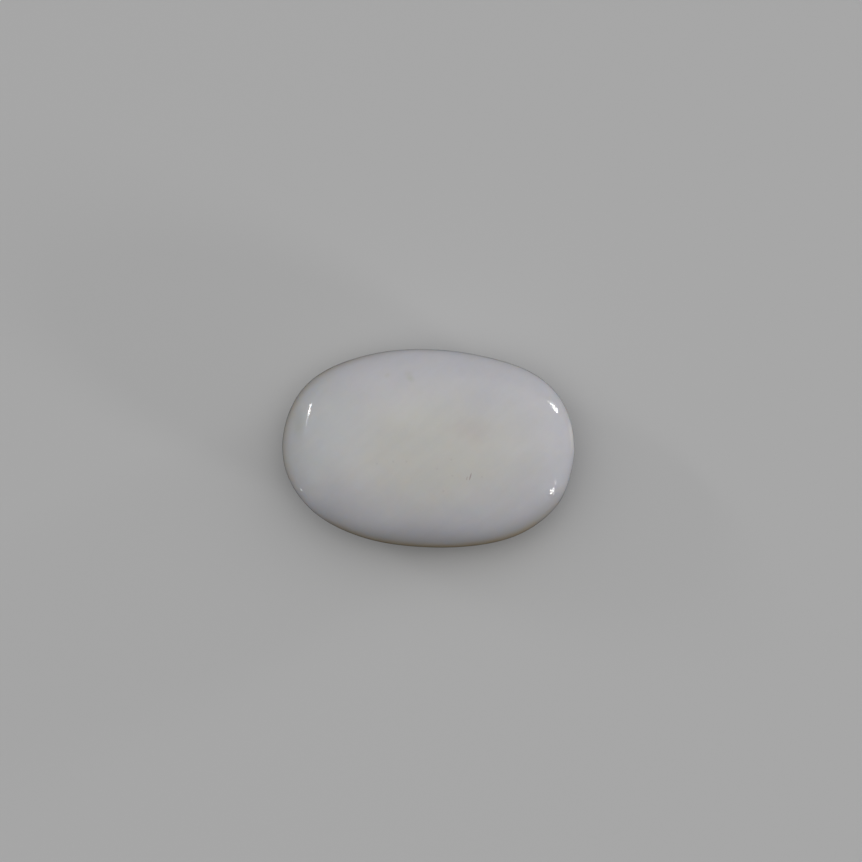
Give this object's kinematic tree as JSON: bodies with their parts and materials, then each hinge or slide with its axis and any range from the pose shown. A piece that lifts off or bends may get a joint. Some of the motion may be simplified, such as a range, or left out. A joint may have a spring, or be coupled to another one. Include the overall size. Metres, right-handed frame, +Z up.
{
  "type": "white opal cabochon",
  "caption": "Loose oval cabochon of milky white opal, polished all over, with a low dome, a rounded girdle and a flat-ground back to rest or be set on.",
  "frame": {"origin": "middle of the stone's outline, on the surface that its flat back lies on", "axes": "+X along the stone towards its squarer end, +Y across it, +Z up through the dome"},
  "size_m": [0.015, 0.0102, 0.0045],
  "materials": {
    "opal": "polished"
  },
  "bodies": {
    "root": {"opal_cabochon": "opal"}
  },
  "joints": []
}
